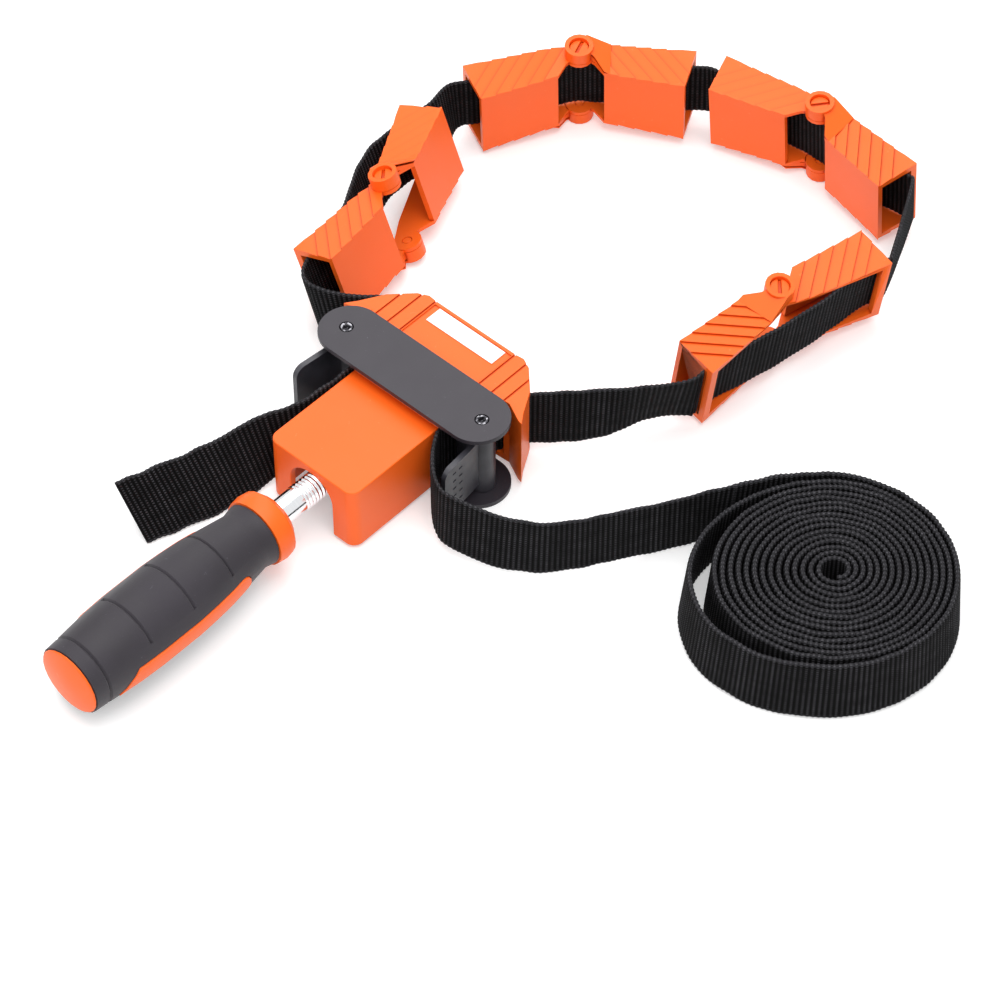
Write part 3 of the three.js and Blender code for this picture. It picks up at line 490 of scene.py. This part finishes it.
def band_stations(node):
    """The centre and the width direction at each section of a webbing node, from end to end."""
    solid = bmesh.new()
    solid.from_mesh(nodes[node].data)
    bmesh.ops.remove_doubles(solid, verts=solid.verts, dist=WELD_REACH)
    ring = cap_of(solid)
    seen = set(ring)
    stations = []
    while ring:
        corners = [v.co.copy() for v in ring]
        centre = sum(corners, Vector()) / len(corners)
        corners.sort(key=lambda co: co.z)
        up = (corners[2] + corners[3] - corners[0] - corners[1]).normalized()
        stations.append((centre, up))
        ring = {edge.other_vert(v) for v in ring for edge in v.link_edges} - seen
        seen |= ring
    solid.free()
    return stations


def cubic(a, b, c, d, t):
    """A smooth curve between b and c that allows for uneven spacing."""
    first, middle, last = ((q - p).length ** 0.5 or 1e-9 for p, q in ((a, b), (b, c), (c, d)))
    slope_b = ((b - a) / first - (c - a) / (first + middle) + (c - b) / middle) * middle
    slope_c = ((c - b) / middle - (d - b) / (middle + last) + (d - c) / last) * middle
    t2, t3 = t * t, t * t * t
    places = b * (2 * t3 - 3 * t2 + 1) + c * (3 * t2 - 2 * t3)
    return places + slope_b * (t3 - 2 * t2 + t) + slope_c * (t3 - t2)


def middle_of(node):
    corners = [v.co for v in nodes[node].data.vertices]
    return sum(corners, Vector()) / len(corners)


def run_from(stations, neighbour):
    """The stations turned so that they start at the end nearer to a neighbouring node."""
    place = middle_of(neighbour)
    backward = (stations[-1][0] - place).length < (stations[0][0] - place).length
    return stations[::-1] if backward else stations


def met(stations):
    """Both ends drawn out to the middle of the joint, where the next length of webbing starts."""
    def beyond(end, inner):
        return end[0] + (end[0] - inner[0]).normalized() * (JOINT_GAP / 2), end[1]

    return [beyond(stations[0], stations[1]), *stations, beyond(stations[-1], stations[-2])]


def resampled(stations, step):
    """Stations at even steps along a smooth curve through the given ones."""
    centres = [centre for centre, _ in stations]
    first = centres[0] * 2 - centres[1]
    last = centres[-1] * 2 - centres[-2]
    padded = [first, *centres, last]
    fine = []
    for index in range(len(centres) - 1):
        count = max(2, math.ceil((centres[index + 1] - centres[index]).length / (step / 3)))
        for k in range(count):
            t = k / count
            centre = cubic(*padded[index:index + 4], t)
            up = stations[index][1].lerp(stations[index + 1][1], t).normalized()
            fine.append((centre, up))
    fine.append(stations[-1])
    lengths = [0.0]
    for before, after in zip(fine, fine[1:]):
        lengths.append(lengths[-1] + (after[0] - before[0]).length)
    total = lengths[-1]
    steps = max(4, round(total / step))
    out, index = [], 0
    for k in range(steps + 1):
        target = total * k / steps
        while index < len(lengths) - 2 and lengths[index + 1] < target:
            index += 1
        span = lengths[index + 1] - lengths[index] or 1e-9
        t = (target - lengths[index]) / span
        here, there = fine[index], fine[index + 1]
        out.append((here[0].lerp(there[0], t), here[1].lerp(there[1], t), target))
    return out


# Half a section of webbing as shares of its half width and half thickness, from mid face to edge
SECTION_SHARES = [(0.0, 1.0), (0.5, 1.0), (0.86, 1.0), (0.955, 0.82), (1.0, 0.3)]
# Where a section's last corners start, and how much of a rib's height they take
OUTERMOST = 0.98
EDGE_RIB_SHARE = 0.5


def webbing(node, neighbour, start_at=0.0):
    """Ribbed webbing along a node's route, with rounded selvedges and a slight unevenness."""
    route = met(run_from(band_stations(node), neighbour))
    stations = resampled(route, RIB_PITCH / STEPS_PER_RIB)
    quarter = SECTION_SHARES
    section = [(x, y) for x, y in quarter] + [(x, -y) for x, y in reversed(quarter)]
    section += [(-x, -y) for x, y in quarter[1:]] + [(-x, y) for x, y in reversed(quarter[1:])]
    thickness = WOUND_THICKNESS if node == "strap_coil" else WEB_THICKNESS
    verts, uvs, faces = [], [], []
    count = len(section)
    # The way round the section to each corner, scaled so that the edges' middles fall at known places
    steps = []
    for (x, y), (next_x, next_y) in zip(section, section[1:] + section[:1]):
        steps.append(math.hypot((next_x - x) * WEB_WIDTH, (next_y - y) * WEB_THICKNESS))
    girth = [2 * HALF_GIRTH * sum(steps[:k]) / sum(steps) for k in range(count + 1)]
    for index, (centre, up, length) in enumerate(stations):
        before = stations[max(index - 1, 0)][0]
        after = stations[min(index + 1, len(stations) - 1)][0]
        side = up.cross(after - before).normalized()
        along = start_at + length
        crest = math.sin(along * RIB_STRETCH)
        drift = noise.noise(Vector((along * DRIFT_PER_METRE, *DRIFT_ROW))) * WOBBLE
        for across, out in section:
            ridge = RIB_HEIGHT * crest * (1.0 if abs(across) < OUTERMOST else EDGE_RIB_SHARE)
            half = thickness / 2 - RIB_HEIGHT + ridge
            edge = WEB_WIDTH / 2 * across * (1 - SCALLOP * (1 - crest))
            verts.append(centre + up * (edge + drift * min(1.0, abs(across))) + side * (half * out))
    for ring in range(len(stations) - 1):
        for k in range(count):
            a, b = ring * count + k, ring * count + (k + 1) % count
            faces.append((a, b, b + count, a + count))
            here, there = (start_at + stations[ring + i][2] for i in (0, 1))
            uvs += [(here, girth[k]), (here, girth[k + 1]), (there, girth[k + 1]), (there, girth[k])]
    faces.append(tuple(reversed(range(count))))
    faces.append(tuple((len(stations) - 1) * count + k for k in range(count)))
    uvs += [(x * WEB_WIDTH, y * WEB_THICKNESS) for x, y in section[::-1] + section]
    mesh = bpy.data.meshes.new(node + "_woven")
    mesh.from_pydata(verts, [], faces)
    layer = mesh.uv_layers.new(name="weave")
    for loop, place in zip(mesh.loops, uvs):
        layer.data[loop.index].uv = place
    fixed = bmesh.new()
    fixed.from_mesh(mesh)
    bmesh.ops.recalc_face_normals(fixed, faces=fixed.faces)
    fixed.to_mesh(mesh)
    fixed.free()
    mesh.shade_smooth()
    mesh.set_sharp_from_angle(angle=WEB_SHARP_ANGLE)
    piece = link_mesh(node + "_woven", mesh)
    finish_piece(piece, node)
    return piece, stations


def rigid_pieces():
    for node, rounding in ROUNDING.items():
        rounded(node, *rounding)
    for node in sorted(nodes):
        if "_half_" in node:
            rounded(node, *JAW_ROUNDING)
        elif node.startswith("jaw_") and "_pin_" in node:
            rounded(node, *JAW_PIN_ROUNDING)


def webbing_pieces():
    """Every length of webbing: the tail, the run and the coil ride on the yoke; the other lengths stay where
    they are drawn.
    """
    for node in ("strap_tail", "strap_run", "strap_coil"):
        piece, stations = webbing(node, "rear_housing")
        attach(piece, "yoke")
    hinges = [joint for joint in frame["joints"] if joint["type"] == "hinge"]
    hinge_at = {joint["child"]: Vector(joint["pos_m"]) for joint in hinges}
    spans = [
        ("strap_left_feed", "rear_housing", "yoke", "head"),
        ("strap_left_span", "pressure_head", "head", "yoke"),
    ]
    for number in range(1, 5):
        far = f"jaw_{number}_far"
        spans.append((f"strap_in_jaw_{number}", f"jaw_{number}_half_a", "yoke", far))
        after = "strap_jaw_4_span" if number == 4 else f"strap_jaw_{number}_to_{number + 1}"
        spans.append((after, f"jaw_{number}_half_b", far, "yoke"))
    spans.append(("strap_right_span", "jaw_4_half_b", "yoke", "head"))
    spans.append(("strap_right_feed", "rear_housing", "yoke", "head"))
    run = 0.0
    for node, neighbour, first, second in spans:
        piece, stations = webbing(node, neighbour, run)
        run += stations[-1][2]
        start, end = stations[0][0], stations[-1][0]
        if node.startswith("strap_in_jaw_"):
            reach = (end - start).normalized() * BEND_REACH
            start, end = hinge_at[second] - reach, hinge_at[second] + reach
        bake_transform(piece)


def seen_directly(tree, kinds):
    """How far a ray is one of these kinds, by which the white surroundings are told from light."""
    path = tree.nodes.new("ShaderNodeLightPath")
    seen = path.outputs[kinds[0]]
    for kind in kinds[1:]:
        either = tree.nodes.new("ShaderNodeMath")
        either.operation = "MAXIMUM"
        tree.links.new(seen, either.inputs[0])
        tree.links.new(path.outputs[kind], either.inputs[1])
        seen = either.outputs["Value"]
    return seen


def pale_floor():
    signs = [(-1, -1), (1, -1), (1, 1), (-1, 1)]
    corners = [(x * FLOOR_HALF, y * FLOOR_HALF, -FLOOR_DROP) for x, y in signs]
    mesh = bpy.data.meshes.new("floor")
    mesh.from_pydata(corners, [], [(0, 1, 2, 3)])
    floor = link_mesh("floor", mesh)
    shader = Shader("pale_floor")
    shader.set(Base_Color=FLOOR_TONE, Roughness=0.9, Specular_IOR_Level=0.1)
    seen = seen_directly(shader.tree, ("Is Camera Ray", "Is Glossy Ray", "Is Transmission Ray"))
    glow = shader.node("ShaderNodeEmission")
    glow.inputs["Color"].default_value = WHITE
    shader.link(shader.math("MULTIPLY", seen, FLOOR_GLOW), glow.inputs["Strength"])
    both = shader.node("ShaderNodeAddShader")
    shader.link(shader.bsdf.outputs["BSDF"], both.inputs[0])
    shader.link(glow.outputs["Emission"], both.inputs[1])
    shader.link(both.outputs["Shader"], shader.tree.nodes["Material Output"].inputs["Surface"])
    mesh.materials.append(shader.material)


def studio():
    world = bpy.data.worlds.new("studio")
    bpy.context.scene.world = world
    world.use_nodes = True
    tree = world.node_tree
    background = tree.nodes["Background"]
    strength = tree.nodes.new("ShaderNodeMapRange")
    strength.inputs["To Min"].default_value = STUDIO_LIGHT
    strength.inputs["To Max"].default_value = 1.0
    tree.links.new(seen_directly(tree, ("Is Camera Ray", "Is Glossy Ray")), strength.inputs["Value"])
    tree.links.new(strength.outputs["Result"], background.inputs["Strength"])
    background.inputs["Color"].default_value = WHITE
    for name, (place, size, power) in LAMPS.items():
        data = bpy.data.lights.new(name, "AREA")
        data.shape = "DISK"
        data.size = size
        data.energy = power
        lamp = bpy.data.objects.new(name, data)
        bpy.context.scene.collection.objects.link(lamp)
        lamp.location = place
        lamp.rotation_euler = (LOOK_AT - Vector(place)).to_track_quat("-Z", "Y").to_euler()


def camera():
    level = Vector((math.sin(-VIEW_TURN), math.cos(VIEW_TURN), 0.0))
    away = level * math.cos(VIEW_RISE) - Vector((0, 0, math.sin(VIEW_RISE)))
    data = bpy.data.cameras.new("camera")
    data.sensor_width = SENSOR
    data.lens = LENS
    data.clip_end = CLIP_END
    made = bpy.data.objects.new("camera", data)
    bpy.context.scene.collection.objects.link(made)
    made.location = LOOK_AT - away * VIEW_DISTANCE
    made.rotation_euler = away.to_track_quat("-Z", "Y").to_euler()
    bpy.context.scene.camera = made


camera()
webbing_pieces()
rigid_pieces()
pale_floor()
studio()
bpy.context.scene.view_settings.view_transform = "Standard"
